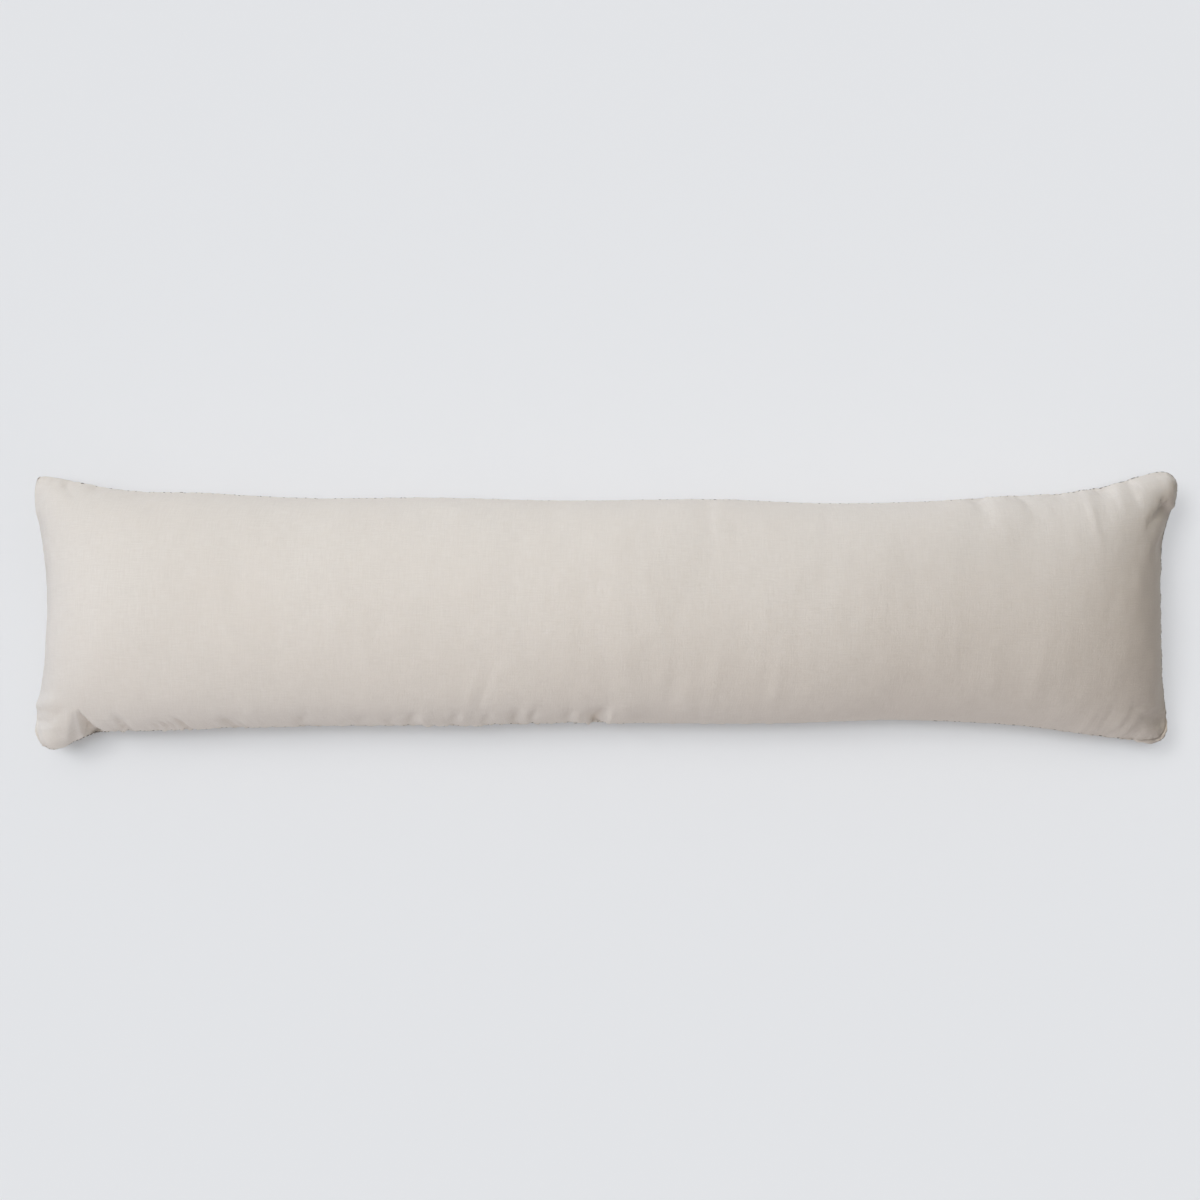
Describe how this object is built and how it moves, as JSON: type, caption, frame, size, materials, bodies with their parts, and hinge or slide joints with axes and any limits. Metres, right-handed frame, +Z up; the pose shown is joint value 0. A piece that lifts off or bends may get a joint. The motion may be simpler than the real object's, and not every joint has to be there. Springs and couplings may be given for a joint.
{
  "type": "lumbar pillow",
  "caption": "Extra-long stuffed lumbar pillow in plain cloth, knife-edge seam all round, four pinched corner ears, lying on its back.",
  "frame": {"origin": "on the surface the pillow lies on, under the middle of its box", "axes": "+X along the length, +Y across the width, +Z up through the crown of the panel that faces up"},
  "size_m": [1.1916, 0.291, 0.1507],
  "materials": {
    "cover_cloth": "matt plain weave, undyed cream"
  },
  "bodies": {
    "root": {"pillow": "cover_cloth"}
  },
  "joints": []
}
